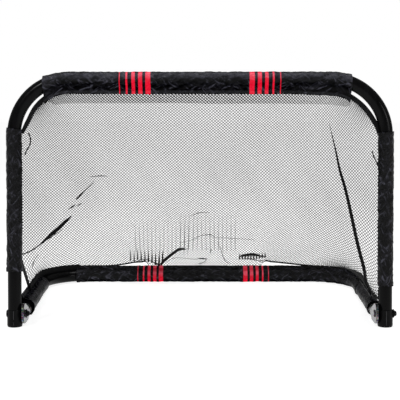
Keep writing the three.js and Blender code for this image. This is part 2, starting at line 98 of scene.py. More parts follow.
class UPath:
    """The middle line of a U of tube; a place on it is a distance from the middle of its bar."""

    def __init__(self, bar, down, face, half_width, bend, toe_in=0.0):
        self.bar, self.down, self.face, self.bend = bar, down, face, bend
        self.half_bar = half_width - bend
        self.turn = math.pi / 2 + toe_in
        self.bend_end = self.half_bar + bend * self.turn

    def on_bend(self, degrees):
        return self.half_bar + self.bend * math.radians(degrees)

    def on_leg(self, down):
        """The place on a leg that lies this far from the bar."""
        depth = self.bend * (1 - math.cos(self.turn))
        return self.bend_end + (down - depth) / math.sin(self.turn)

    def frames(self, places):
        """Points, directions along the line and directions towards the inside of the U."""
        places = np.asarray(places, float)
        side = np.where(places < 0, -1.0, 1.0)
        along = np.abs(places)
        angle = np.clip((along - self.half_bar) / self.bend, 0, self.turn)
        leg = np.maximum(along - self.bend_end, 0)
        across = np.minimum(along, self.half_bar) + self.bend * np.sin(angle)
        across += leg * math.cos(self.turn)
        depth = self.bend * (1 - np.cos(angle)) + leg * math.sin(self.turn)
        points = self.bar + np.outer(side * across, X_AXIS) + np.outer(depth, self.down)
        tangent = np.outer(np.cos(angle), X_AXIS) + np.outer(side * np.sin(angle), self.down)
        inward = np.outer(-side * np.sin(angle), X_AXIS) + np.outer(np.cos(angle), self.down)
        return points, tangent, inward

    def offset(self, places, inwards, facing):
        """Points beside the line, inwards in the U's plane and off that plane."""
        points, _, inward = self.frames(places)
        return points + np.asarray(inwards)[:, None] * inward + np.outer(facing, self.face)


front_path = UPath(CROSSBAR, -POST_AXIS, BACKWARDS, FRONT_HALF_WIDTH, FRONT_BEND)
ground_path = UPath(REAR_BAR, -Y_AXIS, Z_AXIS, REAR_HALF_WIDTH, REAR_BEND, TOE_IN)


def on_post(height):
    return front_path.on_leg(FRONT_LENGTH - height)


def on_arm(distance):
    """The place on an arm this far behind the post's foot."""
    return ground_path.on_leg(REAR_BAR[1] - FOOT[1] - distance)


# ---------- meshes ----------

def new_object(name, points, faces, material):
    mesh = bpy.data.meshes.new(name)
    mesh.from_pydata(np.asarray(points, float).reshape(-1, 3).tolist(), [], faces)
    mesh.polygons.foreach_set("use_smooth", [True] * len(mesh.polygons))
    mesh.update()
    mesh.materials.append(material)
    made = bpy.data.objects.new(name, mesh)
    bpy.context.scene.collection.objects.link(made)
    return made


def ring_faces(rows, columns, start=0, flip=False):
    """Faces of a skin with this many rings of this many points."""
    row, column = np.meshgrid(np.arange(rows - 1), np.arange(columns), indexing="ij")
    after = (column + 1) % columns
    quads = np.stack([row * columns + column, (row + 1) * columns + column,
                      (row + 1) * columns + after, row * columns + after], axis=-1)
    quads = quads.reshape(-1, 4) + start
    return (quads[:, ::-1] if flip else quads).tolist()


def shell(name, outer, inner, material):
    """A closed skin between two stacks of rings, such as a tube with a wall."""
    rows, columns = outer.shape[:2]
    count = rows * columns
    last = count - columns
    faces = ring_faces(rows, columns, flip=True) + ring_faces(rows, columns, count)
    for column in range(columns):
        after = (column + 1) % columns
        faces.append([column, after, count + after, count + column])
        faces.append([last + after, last + column, count + last + column, count + last + after])
    return new_object(name, np.concatenate([outer, inner]), faces, material)


def swept(path, places, section):
    """Rings along a path. Places are one per ring or per point; a point is (inwards, off the plane)."""
    count = np.shape(section)[-2]
    places = np.broadcast_to(places if np.ndim(places) == 2 else places[:, None], (len(places), count))
    points, _, inward = path.frames(places.ravel())
    section = np.broadcast_to(section, places.shape + (2,)).reshape(-1, 2)
    made = points + section[:, :1] * inward + section[:, 1:] * path.face
    return made.reshape(len(places), count, 3)


def circle(radius, count):
    angles = np.arange(count) * 2 * math.pi / count
    return radius * np.stack([np.cos(angles), np.sin(angles)], axis=1)


def smooth_by_angle(piece, degrees=35):
    piece.data.set_sharp_from_angle(angle=math.radians(degrees))


# ---------- materials ----------

def grey(level):
    return (level, level, level)


class Nodes:
    """A small helper that writes one material's nodes."""

    def __init__(self, name, color, roughness, metallic=0.0, specular=0.5):
        self.material = bpy.data.materials.new(name)
        self.material.use_nodes = True
        self.tree = self.material.node_tree
        self.shader = self.tree.nodes["Principled BSDF"]
        self.shader.inputs["Base Color"].default_value = (*color, 1)
        self.shader.inputs["Roughness"].default_value = roughness
        self.shader.inputs["Metallic"].default_value = metallic
        self.shader.inputs["Specular IOR Level"].default_value = specular

    def add(self, kind, inputs=(), **settings):
        node = self.tree.nodes.new(kind)
        for key, value in settings.items():
            setattr(node, key, value)
        for key, value in dict(inputs).items():
            if isinstance(value, bpy.types.NodeSocket):
                self.tree.links.new(value, node.inputs[key])
            else:
                node.inputs[key].default_value = value
        return node

    def math(self, operation, first, second=0.0):
        return self.add("ShaderNodeMath", {0: first, 1: second}, operation=operation).outputs[0]

    def place(self, scale=(1, 1, 1)):
        """Where a point lies in the goal at rest, in metres, times a scale."""
        where = self.add("ShaderNodeTexCoord").outputs["Object"]
        return self.add("ShaderNodeMapping", {"Vector": where, "Scale": scale}).outputs[0]

    def cloth_place(self, scale=(1, 1, 1), turned=0.0):
        """Where a point lies on the flat cloth, in metres along and around, turned by an angle."""
        where = self.add("ShaderNodeUVMap", uv_map="cloth").outputs[0]
        inputs = {"Vector": where, "Rotation": (0, 0, math.radians(turned))}
        straight = self.add("ShaderNodeMapping", inputs).outputs[0]
        return self.add("ShaderNodeMapping", {"Vector": straight, "Scale": scale}).outputs[0]

    def noise(self, place, scale, detail=3.0, roughness=0.5, distortion=0.0):
        inputs = {"Vector": place, "Scale": scale, "Detail": detail, "Roughness": roughness,
                  "Distortion": distortion}
        return self.add("ShaderNodeTexNoise", inputs).outputs["Fac"]

    def ramp(self, value, *stops):
        """Colours at positions; a stop is (position, (r, g, b))."""
        node = self.add("ShaderNodeValToRGB", {"Fac": value})
        elements = node.color_ramp.elements
        while len(elements) < len(stops):
            elements.new(0.5)
        for element, (position, color) in zip(elements, stops):
            element.position = position
            element.color = (*color, 1)
        return node.outputs["Color"]

    def fade(self, value, low, high, to_low=0.0, to_high=1.0):
        """Maps low to high onto to_low to to_high, and holds the value beyond them."""
        inputs = {"Value": value, "From Min": low, "From Max": high,
                  "To Min": to_low, "To Max": to_high}
        return self.add("ShaderNodeMapRange", inputs).outputs["Result"]

    def waves(self, direction, scale, distortion):
        """Bands across the cloth map's X or Y."""
        inputs = {"Vector": self.cloth_place(), "Scale": scale, "Distortion": distortion}
        return self.add("ShaderNodeTexWave", inputs, wave_type="BANDS",
                        bands_direction=direction).outputs["Fac"]

    def facing(self, axis):
        """How far the surface faces along an axis of the goal, from -1 to 1."""
        normal = self.add("ShaderNodeNewGeometry").outputs["Normal"]
        return self.add("ShaderNodeSeparateXYZ", {"Vector": normal}).outputs[axis]

    def gloss_shaded_at_rims(self, level):
        """A gloss that is full towards the goal's front and back and nothing towards its sides: painted
        shade that keeps rims dark.
        """
        return self.fade(self.math("ABSOLUTE", self.facing("Y")), 0.10, 0.50, 0.0, level)

    def mix(self, share, first, second):
        node = self.add("ShaderNodeMix", data_type="RGBA")
        color_inputs = [s for s in node.inputs if s.type == "RGBA"]
        self.join(share, node.inputs[0])
        self.join(first, color_inputs[0])
        self.join(second, color_inputs[1])
        return [s for s in node.outputs if s.type == "RGBA"][0]

    def join(self, value, socket):
        if isinstance(value, bpy.types.NodeSocket):
            self.tree.links.new(value, socket)
        elif isinstance(value, tuple):
            socket.default_value = (*value, 1)
        else:
            socket.default_value = value

    def feed(self, **sockets):
        for key, value in sockets.items():
            self.join(value, self.shader.inputs[key.replace("_", " ")])

    def bump(self, height, strength, distance, normal=None):
        inputs = {"Height": height, "Strength": strength, "Distance": distance}
        if normal is not None:
            inputs["Normal"] = normal
        return self.add("ShaderNodeBump", inputs).outputs["Normal"]


GLOSS = 0.08  # specular level of paint and plastic


def painted_tube():
    """Black gloss paint with orange peel and faint scuffs; its gloss fades out towards the rims as
    painted shade.
    """
    n = Nodes("painted_tube", (0.004, 0.004, 0.005), 0.18, specular=GLOSS)
    peel = n.noise(n.place(), 260.0, 2.0)
    scuffs = n.noise(n.place((1, 1, 0.15)), 95.0, 5.0, 0.7)
    n.feed(Base_Color=n.ramp(scuffs, (0.3, grey(0.0008)), (0.75, (0.003, 0.003, 0.0034))),
           Roughness=n.fade(scuffs, 0.35, 0.8, 0.14, 0.34),
           # painted shade: no gloss where the tube faces sideways, up or down, so its rims stay dark
           Specular_IOR_Level=n.gloss_shaded_at_rims(GLOSS),
           Normal=n.bump(peel, 0.12, 0.0004))
    return n.material


def bare_steel():
    """Drawn steel, streaked along the bars."""
    n = Nodes("bare_steel", (0.32, 0.32, 0.33), 0.4, metallic=1.0)
    drawn = n.noise(n.place((1, 12, 12)), 90.0, 3.0)
    n.feed(Base_Color=n.ramp(drawn, (0.3, (0.24, 0.24, 0.25)), (0.7, (0.42, 0.42, 0.43))),
           Roughness=n.fade(drawn, 0.3, 0.7, 0.3, 0.55))
    return n.material


def zinc_steel():
    """Zinc plate with a fine spangle and dark stains."""
    n = Nodes("zinc_steel", (0.55, 0.56, 0.57), 0.3, metallic=1.0)
    spangle = n.add("ShaderNodeTexVoronoi", {"Vector": n.place(), "Scale": 420.0}).outputs["Color"]
    stains = n.noise(n.place(), 130.0, 4.0, 0.65)
    plate = n.ramp(stains, (0.49, (0.010, 0.010, 0.011)), (0.64, (0.30, 0.31, 0.32)))
    n.feed(Base_Color=n.mix(0.12, plate, spangle),
           Roughness=n.fade(stains, 0.3, 0.75, 0.18, 0.36),
           Normal=n.bump(stains, 0.25, 0.0004))
    return n.material


def moulded_plastic(name, color, roughness):
    """Moulded plastic with a fine grain, rubbed lighter in places; its gloss fades out towards the rims
    as painted shade.
    """
    n = Nodes(name, color, roughness, specular=GLOSS)
    grain = n.noise(n.place(), 1400.0, 2.0)
    rub = n.noise(n.place(), 70.0, 4.0, 0.6)
    bright = tuple(c * 2.2 for c in color)
    n.feed(Base_Color=n.ramp(rub, (0.35, color), (0.8, bright)),
           Roughness=n.fade(rub, 0.3, 0.8, roughness - 0.08, roughness + 0.14),
           # painted shade: no gloss where the plastic faces sideways, up or down, so its rims stay dark
           Specular_IOR_Level=n.gloss_shaded_at_rims(GLOSS),
           Normal=n.bump(grain, 0.15, 0.0002))
    return n.material


# Printed stripes on each half of a sleeve: where each starts and ends, from the print's middle
STRIPES = [(0.115, 0.127), (0.134, 0.1435), (0.151, 0.1592), (0.1685, 0.1728), (0.1862, 0.1882)]
REAR_PRINT_SHIFT = 0.009  # how far the rear bar's print sits to the right
STRIPE_EDGE = 0.0006
STRIPE_WANDER = 0.0012
THREADS = 330.0  # scale of the weave
CLOTH_GLOSS = 0.14


def sleeve_fabric(name, print_middle=None, painted_sheen=0.0):
    """Coated polyester weave, with painted highlights on its crinkles. With a print's middle given, it
    carries the red stripes, painted pinker where they face somewhat upwards; the last argument is how
    much lighter the cloth is painted where it faces somewhat upwards, a painted highlight."""
    n = Nodes(name, (0.003, 0.003, 0.004), 0.4, specular=CLOTH_GLOSS)
    crumple = n.noise(n.place(), 55.0, 5.0, 0.62, 0.6)
    fine = n.noise(n.place(), 190.0, 4.0, 0.6, 0.3)
    weave = n.math("MULTIPLY", n.waves("X", THREADS, 0.3), n.waves("Y", THREADS, 0.3))
    rising = n.noise(n.cloth_place((1, 3.0, 1), 28), 40.0, 4.0, 0.55, 0.9)
    falling = n.noise(n.cloth_place((1, 2.8, 1), -41), 34.0, 4.0, 0.55, 1.0)
    crinkle_and_highlight = n.math("MAXIMUM", rising, falling)
    # painted highlights: the crinkles' ridges are coloured lighter as if they caught the light; they also
    # bump the cloth
    color = n.ramp(crinkle_and_highlight, (0.50, (0.0003, 0.0003, 0.0005)), (0.59, (0.0050, 0.0050, 0.0070)),
                   (0.70, (0.054, 0.054, 0.070)))
    upward = n.facing("Z")
    if painted_sheen:
        # painted highlight: lighter where the cloth faces somewhat upwards, in patches by the crumple
        painted_upward_highlight = n.math("MULTIPLY", n.fade(upward, 0.0, 0.45), n.fade(upward, 0.70, 0.93, painted_sheen, 0.0))
        color = n.mix(n.math("MULTIPLY", painted_upward_highlight, n.fade(crumple, 0.3, 0.7)), color,
                      (0.060, 0.060, 0.078))
    if print_middle is not None:
        red = n.ramp(fine, (0.3, (0.74, 0.003, 0.022)), (0.7, (0.92, 0.012, 0.046)))
        # painted highlight: the stripes turn pinker where they face somewhat upwards
        painted_upward_highlight = n.math("MULTIPLY", n.fade(upward, 0.0, 0.45), n.fade(upward, 0.70, 0.93, 0.7, 0.2))
        color = n.mix(stripe_ink(n, print_middle, crumple), color, n.mix(painted_upward_highlight, red, (1.0, 0.13, 0.20)))
    n.feed(Base_Color=color,
           Roughness=n.fade(crumple, 0.3, 0.8, 0.46, 0.32),
           # painted shade: no gloss where the cloth faces down or straight up, so its underside and top
           # edge stay dark
           Specular_IOR_Level=n.math("MULTIPLY", n.fade(upward, -0.60, -0.10, 0.0, CLOTH_GLOSS),
                                     n.fade(upward, 0.84, 0.97, 1.0, 0.0)),
           Normal=n.bump(weave, 0.25, 0.0003, n.bump(fine, 0.5, 0.003, n.bump(crinkle_and_highlight, 0.9, 0.008))))
    return n.material


def stripe_ink(n, print_middle, wander):
    """1 on the printed stripes and 0 between them."""
    across = n.add("ShaderNodeSeparateXYZ", {"Vector": n.place()}).outputs["X"]
    slip = n.math("MULTIPLY", n.math("SUBTRACT", wander, 0.5), STRIPE_WANDER)
    away = n.math("ABSOLUTE", n.math("SUBTRACT", n.math("ADD", across, slip), print_middle))
    ink = None
    for start, end in STRIPES:
        far = n.math("ABSOLUTE", n.math("SUBTRACT", away, (start + end) / 2))
        half = (end - start) / 2
        stripe = n.fade(far, half - STRIPE_EDGE / 2, half + STRIPE_EDGE / 2, 1.0, 0.0)
        ink = stripe if ink is None else n.math("MAXIMUM", ink, stripe)
    return ink


def binding_tape():
    """Ribbed black webbing, worn grey in places."""
    n = Nodes("binding_tape", (0.003, 0.003, 0.0034), 0.75, specular=0.15)
    ribs = n.waves("X", 240.0, 0.6)
    worn = n.noise(n.place(), 140.0, 4.0, 0.6)
    n.feed(Base_Color=n.ramp(worn, (0.3, (0.002, 0.002, 0.0023)), (0.8, (0.006, 0.006, 0.007))),
           Roughness=n.fade(worn, 0.2, 0.8, 0.65, 0.9),
           Normal=n.bump(ribs, 0.5, 0.0006))
    return n.material


def net_thread():
    """Black thread; its colour is one plain value, so that its many faces need no texture."""
    n = Nodes("net_thread", grey(0.008), 0.6, specular=0.15)
    twist = n.noise(n.place(), 900.0, 2.0)
    n.feed(Roughness=n.fade(twist, 0.2, 0.8, 0.5, 0.8))
    return n.material


paint = painted_tube()
steel = bare_steel()
zinc = zinc_steel()
cap_plastic = moulded_plastic("cap_plastic", (0.002, 0.002, 0.0022), 0.34)
# painted highlight: the mould lines are a lighter plastic than the caps, for the glint along them
glint_plastic = moulded_plastic("mould_line", (0.035, 0.035, 0.037), 0.35)
nut_plastic = moulded_plastic("nut_plastic", grey(0.002), 0.3)
plain_cloth = sleeve_fabric("sleeve_cloth")
# the crossbar's cloth gets a painted highlight where it faces somewhat upwards
crossbar_cloth = sleeve_fabric("crossbar_print", MIDDLE_X, painted_sheen=0.9)
rear_cloth = sleeve_fabric("rear_bar_print", MIDDLE_X + REAR_PRINT_SHIFT)
tape_weave = binding_tape()
thread = net_thread()


# ---------- tubes ----------

TUBE_SIDES = 64
TUBE_STEP = 0.006
JOINT_X = 0.230  # where the bent tubes meet the straight bars
JOINT_GAP = 0.0003
CAP_FLOOR = 0.0053  # the posts' lower ends stand on the caps' inner floors, this far up
ARM_START = 0.100  # the arms' front ends, this far behind the posts' feet


def sided(side, near, far):
    """The two ends of a stretch of leg, in the order they have along the whole path."""
    return (near, far) if side == RIGHT else (-far, -near)


def spread_places(start, end, step):
    return np.linspace(start, end, max(2, math.ceil((end - start) / step) + 1))


def tube(name, path, start, end, body):
    places = spread_places(start, end, TUBE_STEP)
    made = shell(name, swept(path, places, circle(TUBE_RADIUS, TUBE_SIDES)),
                 swept(path, places, circle(TUBE_RADIUS - TUBE_WALL, TUBE_SIDES)), paint)
    smooth_by_angle(made)
    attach(made, body)
    return made


def tubes():
    for side in (LEFT, RIGHT):
        name = SIDE_NAMES[side]
        start, end = sided(side, JOINT_X, on_post(CAP_FLOOR))
        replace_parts(tube(f"{name}_post", front_path, start, end, "front_frame"), f"{name}_post_tube")
        start, end = sided(side, JOINT_X, on_arm(ARM_START))
        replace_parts(tube(f"{name}_arm", ground_path, start, end, "ground_frame"), f"{name}_arm_tube")
    reach = JOINT_X - JOINT_GAP
    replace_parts(tube("crossbar", front_path, -reach, reach, "front_frame"), "crossbar_tube")
    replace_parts(tube("rear_bar", ground_path, -reach, reach, "ground_frame"), "rear_bar_tube")


# ---------- sleeves ----------

SLEEVE_SIDES = 96
SLEEVE_STEP = 0.003
HEM_WIDTH = 0.011
SLEEVE_RADIUS, CROSSBAR_RADIUS = 0.0177, 0.0168
HALF_FLAP = 0.0012  # half of a flap's thickness
CLOTH = 0.0007  # thickness of the sleeves' fabric
FLOOR_CLEARANCE = 0.0002
BROAD_CRUMPLE, RIDGE_CRUMPLE, SMALL_CRUMPLE = 0.0007, 0.0012, 0.0004
HEM_RISE = 0.0006  # how far the doubled cloth stands up, and how deep the stitching pulls it in
STITCH_WIDTH = 0.0016
FLARE_LENGTH = 0.012
CUT_LENGTH = 0.045  # how far from its end a slanting cut still skews the cloth


def crumpled(along, around, seed):
    """How far loose cloth on a tube stands proud of it, for places along and angles round it."""
    out = np.empty((len(along), len(around)))
    ring = [(math.cos(a), math.sin(a)) for a in around]
    for i, s in enumerate(along):
        for j, (c, d) in enumerate(ring):
            broad = noise.noise(Vector((s * 22 + seed, c * 0.9, d * 0.9)))
            skew = s + 0.012 * c
            ridge = 1 - abs(noise.noise(Vector((skew * 58 + seed, c * 1.3 + 7, d * 1.3))))
            small = noise.noise(Vector((skew * 130, c * 2.6 + seed, d * 2.6 + 3)))
            out[i, j] = BROAD_CRUMPLE * broad + RIDGE_CRUMPLE * ridge ** 5 + SMALL_CRUMPLE * small
    return out


def drop_section(radius, stitch, tip, direction):
    """A sleeve's outline: round the tube, drawn together at a stitch line, and a flat flap beyond."""
    meet = math.acos(min(1, radius / stitch))
    arc = np.linspace(meet, 2 * math.pi - meet, 120)
    outline = [(tip, HALF_FLAP), (stitch, HALF_FLAP)]
    outline += [(radius * math.cos(a), radius * math.sin(a)) for a in arc]
    outline += [(stitch, -HALF_FLAP), (tip, -HALF_FLAP), (tip, HALF_FLAP)]
    outline = np.array(outline)
    length = np.concatenate([[0], np.cumsum(np.linalg.norm(np.diff(outline, axis=0), axis=1))])
    at = np.linspace(0, length[-1], SLEEVE_SIDES, endpoint=False)
    section = np.stack([np.interp(at, length, outline[:, k]) for k in (0, 1)], axis=1)
    turned = np.array([[math.cos(direction), math.sin(direction)],
                       [-math.sin(direction), math.cos(direction)]])
    return section @ turned


def rounded(section, radius):
    """The same outline with its flap drawn in to a plain ring."""
    return radius * section / np.linalg.norm(section, axis=1)[:, None]


def outwards(section):
    """Unit vectors out of a closed outline of points given the right-handed way round."""
    ahead = np.roll(section, -1, axis=0) - np.roll(section, 1, axis=0)
    out = np.stack([ahead[:, 1], -ahead[:, 0]], axis=1)
    return out / np.linalg.norm(out, axis=1)[:, None]


def end_skew(path, places, section, cuts):
    """Moves the ends along the tube so that each is cut across the U's bar, not square to a bend."""
    shift = np.zeros((len(places), len(section)))
    for end, reach, sign in ((places[0], places - places[0], -1), (places[-1], places[-1] - places, 1)):
        turn = np.clip((abs(end) - path.half_bar) / path.bend, 0, 1)
        if sign == cuts or cuts == "both":
            slide = math.tan(turn) * section[:, 0] / (1 - section[:, 0] / path.bend)
            shift += sign * np.exp(-(reach / CUT_LENGTH) ** 2)[:, None] * slide[None]
    return shift


def sleeve(name, path, start, end, section, material, seed, flare, cuts=None, fade=None, droop=None):
    """A cloth tube round a stretch of frame, flared by so much at its start and its end. For its
    flap, fade is (place where it is whole, place where it is gone, ring radius there) and droop is
    (place, place, how much deeper it gets from the first to the second)."""
    places = spread_places(start, end, SLEEVE_STEP)
    angles = np.arctan2(section[:, 1], section[:, 0])
    proud = crumpled(places, angles, seed)
    from_start, from_end = places - places[0], places[-1] - places
    from_edge = np.minimum(from_start, from_end)
    proud += np.where(from_edge < HEM_WIDTH, HEM_RISE, 0.0)[:, None]
    proud -= (HEM_RISE * np.exp(-((from_edge - HEM_WIDTH) / STITCH_WIDTH) ** 2))[:, None]
    proud += (flare[0] * np.exp(-from_start / FLARE_LENGTH)
              + flare[1] * np.exp(-from_end / FLARE_LENGTH))[:, None]
    outline = np.repeat(section[None], len(places), axis=0)
    if fade:
        share = smoothstep(places, fade[0], fade[1])[:, None, None]
        outline = outline * (1 - share) + rounded(section, fade[2])[None] * share
    if droop:
        deeper = droop[2] * smoothstep(places, droop[0], droop[1])
        outline[..., 0] += deeper[:, None] * smoothstep(section[:, 0], CROSSBAR_RADIUS, CROSSBAR_STITCH)
    out = np.stack([outwards(ring) for ring in outline])
    shifted = places[:, None] + end_skew(path, places, section, cuts)
    outer = swept(path, shifted, outline + proud[..., None] * out)
    inner = swept(path, shifted, outline + (proud - CLOTH)[..., None] * out)
    outer[..., 2] = np.maximum(outer[..., 2], FLOOR_CLEARANCE)
    inner[..., 2] = np.maximum(inner[..., 2], FLOOR_CLEARANCE + CLOTH)
    made = shell(name, outer, inner, material)
    steps = np.linalg.norm(np.roll(section, -1, axis=0) - section, axis=1)
    around = np.concatenate([[0], np.cumsum(steps)[:-1]])
    flat = np.stack(np.broadcast_arrays(places[:, None], around), axis=-1).reshape(-1, 2)
    add_map(made, np.concatenate([flat, flat]))
    return made


def add_map(piece, flat):
    """A map named cloth, in metres along and around for each point, for weave and ribs."""
    loops = np.empty(len(piece.data.loops), int)
    piece.data.loops.foreach_get("vertex_index", loops)
    piece.data.uv_layers.new(name="cloth").data.foreach_set("uv", flat[loops].ravel())


CROSSBAR_WRAP = {LEFT: 28, RIGHT: 22}  # degrees round each bend
CROSSBAR_STITCH, CROSSBAR_TIP = 0.0265, 0.0342
CROSSBAR_DROOP = 0.0042  # how much deeper the flap gets towards the right bend
GROUND_STITCH = 0.0225
# A ground sleeve's flap: how far it reaches, and its angle up from the inside of the U
REAR_FLAP = (0.0285, math.radians(110))
ARM_FLAP = {LEFT: (0.031, math.radians(115)), RIGHT: (0.0262, math.radians(80))}
ARM_RADIUS = {LEFT: 0.0186, RIGHT: 0.0174}
ARM_FLARE = {LEFT: (0.0022, 0.0012), RIGHT: (0.0, 0.0004)}
POST_FLARE = (0.0008, 0.0)
POST_SLEEVE = {LEFT: (0.129, 0.463), RIGHT: (0.095, 0.455)}  # heights up the posts
ARM_SLEEVE = {LEFT: (0.124, 0.432), RIGHT: (0.114, 0.362)}  # distances behind the posts' feet
LEFT_REAR_WRAP = 20  # degrees round the left rear bend
RIGHT_REAR_END = 0.356  # behind the right post's foot


def sleeves():
    bar = drop_section(CROSSBAR_RADIUS, CROSSBAR_STITCH, CROSSBAR_TIP, 0)
    made = sleeve("crossbar_cover", front_path, -front_path.on_bend(CROSSBAR_WRAP[LEFT]),
                  front_path.on_bend(CROSSBAR_WRAP[RIGHT]), bar, crossbar_cloth, 3.1, (0.003, 0.002),
                  cuts="both", droop=(0.20, front_path.on_bend(5), CROSSBAR_DROOP))
    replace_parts(made, "crossbar_sleeve")
    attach(made, "front_frame")
    rear = drop_section(SLEEVE_RADIUS, GROUND_STITCH, *REAR_FLAP)
    made = sleeve("rear_bar_cover", ground_path, -ground_path.on_bend(LEFT_REAR_WRAP),
                  on_arm(RIGHT_REAR_END), rear, rear_cloth, 11.7, (0.001, 0.0012), cuts=-1)
    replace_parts(made, "rear_bar_sleeve")
    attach(made, "ground_frame")
    ring = circle(SLEEVE_RADIUS, SLEEVE_SIDES)
    for side in (LEFT, RIGHT):
        name = SIDE_NAMES[side]
        low, high = POST_SLEEVE[side]
        start, end = sided(side, on_post(high), on_post(low))
        made = sleeve(f"{name}_post_cover", front_path, start, end, ring, plain_cloth, 20.3 + side * 5,
                      POST_FLARE)
        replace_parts(made, f"{name}_post_sleeve")
        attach(made, "front_frame")
        near, far = ARM_SLEEVE[side]
        start, end = sided(side, on_arm(far), on_arm(near))
        arm = drop_section(ARM_RADIUS[side], GROUND_STITCH, *ARM_FLAP[side])
        fade = (on_arm(near + 0.05), on_arm(near + 0.012), ARM_RADIUS[side]) if side == RIGHT else None
        made = sleeve(f"{name}_arm_cover", ground_path, start, end, arm, plain_cloth, 40.9 + side * 7,
                      ARM_FLARE[side], fade=fade)
        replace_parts(made, f"{name}_arm_sleeve")
        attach(made, "ground_frame")


# ---------- tapes ----------

# A tape's cross-section, in half widths and half thicknesses
TAPE_OUTLINE = [(-1, -0.4), (-1, 0.4), (-0.86, 1), (0.86, 1), (1, 0.4), (1, -0.4), (0.86, -1),
                (-0.86, -1)]
BINDING_THICKNESS = 0.0022
MAP_STEP = 0.001  # between neighbouring corners of the cross-section, on the cloth map


def ribbon(name, lines, material, body=None):
    """Flat tapes along lines. A line is (middle points, width directions, widths, thickness).
    Without a body the tape is attached to neither frame."""
    points, faces, flat = [], [], []
    start = 0
    for middle, across, width, thickness in lines:
        ahead = np.gradient(middle, axis=0)
        ahead /= np.linalg.norm(ahead, axis=1)[:, None]
        across = across - (across * ahead).sum(1)[:, None] * ahead
        across /= np.linalg.norm(across, axis=1)[:, None]
        up = np.cross(ahead, across)
        half = np.broadcast_to(np.asarray(width) / 2, len(middle))[:, None]
        thin = np.minimum(thickness / 2, half)
        rings = np.stack([middle + a * half * across + b * thin * up for a, b in TAPE_OUTLINE], axis=1)
        rows, columns = rings.shape[:2]
        faces += ring_faces(rows, columns, start)
        faces += [[start + i for i in range(columns)],
                  [start + (rows - 1) * columns + i for i in reversed(range(columns))]]
        length = np.concatenate([[0], np.cumsum(np.linalg.norm(np.diff(middle, axis=0), axis=1))])
        around = np.arange(columns) * MAP_STEP
        flat.append(np.stack(np.broadcast_arrays(length[:, None], around), axis=-1))
        points.append(rings.reshape(-1, 3))
        start += rows * columns
    made = new_object(name, np.concatenate(points), faces, material)
    smooth_by_angle(made, 50)
    add_map(made, np.concatenate([part.reshape(-1, 2) for part in flat]))
    if body:
        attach(made, body)
    else:
        fold_with_frames(made)
    return made


# The tape beside each top bend: (degrees round the bend, how far inwards of the tube's middle)
CORNER_TAPES = {
    LEFT: np.array([(24, 0.0265), (35, 0.0262), (50, 0.0276), (62, 0.0288), (72, 0.0275), (80, 0.0236),
                    (88, 0.0185)]),
    RIGHT: np.array([(17, 0.0275), (30, 0.0288), (45, 0.0290), (58, 0.0276), (70, 0.0238), (80, 0.0188),
                     (88, 0.0165)])}
CORNER_TAPE_WIDTH = {LEFT: 0.0108, RIGHT: 0.0118}
TAPE_WAVE = 0.0025  # how far the corner tapes wander off the frame's plane
REAR_TAPE = (15, 0.250)  # from this far round the left rear bend to this far behind the post's foot
REAR_TAPE_RISE = TUBE_RADIUS + 0.0052
REAR_TAPE_INSET, REAR_TAPE_WIDTH = -0.006, 0.0215


def corner_tapes():
    for side in (LEFT, RIGHT):
        name = SIDE_NAMES[side]
        knots = CORNER_TAPES[side]
        degrees = np.linspace(knots[0, 0], knots[-1, 0], 60)
        inset = curve_through(degrees, knots)
        places = side * (front_path.half_bar + front_path.bend * np.radians(degrees))
        shift = TAPE_WAVE * np.sin(np.linspace(0, 9, len(places)))
        middle = front_path.offset(places, inset, shift)
        across = front_path.frames(places)[2]
        width = CORNER_TAPE_WIDTH[side] * (1 - 0.25 * smoothstep(degrees, 74, 88))
        made = ribbon(f"{name}_top_binding", [(middle, across, width, BINDING_THICKNESS)], tape_weave,
                      "front_frame")
        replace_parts(made, f"{name}_top_corner_tape")
    near, far = ground_path.on_bend(REAR_TAPE[0]), on_arm(REAR_TAPE[1])
    places = -spread_places(near, far, 0.004)
    level = np.ones(len(places))
    middle = ground_path.offset(places, REAR_TAPE_INSET * level, REAR_TAPE_RISE * level)
    made = ribbon("left_rear_binding", [(middle, Z_AXIS, REAR_TAPE_WIDTH, BINDING_THICKNESS)],
                  tape_weave, "ground_frame")
    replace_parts(made, "left_rear_corner_tape")


def curve_through(at, knots):
    """A smooth curve through (position, value) knots."""
    slopes = np.gradient(knots[:, 1], knots[:, 0])
    index = np.clip(np.searchsorted(knots[:, 0], at) - 1, 0, len(knots) - 2)
    low, high = knots[index], knots[index + 1]
    span = high[..., 0] - low[..., 0]
    t = np.clip((at - low[..., 0]) / span, 0, 1)
    value = (2 * t ** 3 - 3 * t ** 2 + 1) * low[..., 1] + (3 * t ** 2 - 2 * t ** 3) * high[..., 1]
    value += (t ** 3 - 2 * t ** 2 + t) * span * slopes[index]
    return value + (t ** 3 - t ** 2) * span * slopes[index + 1]


# ---------- net ----------

NET_END = {LEFT: (0.158, 0.255), RIGHT: (0.062, 0.118)}  # height on the post, distance along the arm
NET_TOP_CORNER = 45  # degrees round the top bends
POST_SHARE = 0.90  # how much of the net's side edge is on the post
# Where the net's lower edge is at shares of its half width: on the bar, round the bend, on the arm
LOWER_SHARES = (0, 0.69, 0.80, 0.90, 1.0)
ACROSS, DOWN = 144, 72  # the relaxed sheet's grid
RELAXING = 5000
CELLS_ACROSS, CELLS_DOWN = 118, 66
THREAD_RADIUS = 0.00062
THREAD_SIDE = Z_AXIS + 0.37 * X_AXIS  # a direction that no thread runs along
SEAM_OVERLAP = 0.8 / CELLS_ACROSS  # share across by which panels overlap at a seam
# How far inside the front frame the net's seam lies: on the bends, more on the bar, less on the posts
BEND_INSET, BAR_EXTRA, POST_LESS = 0.031, 0.002, 0.020
POST_SETBACK = 0.015  # how much further behind the posts than behind the bar the net is sewn
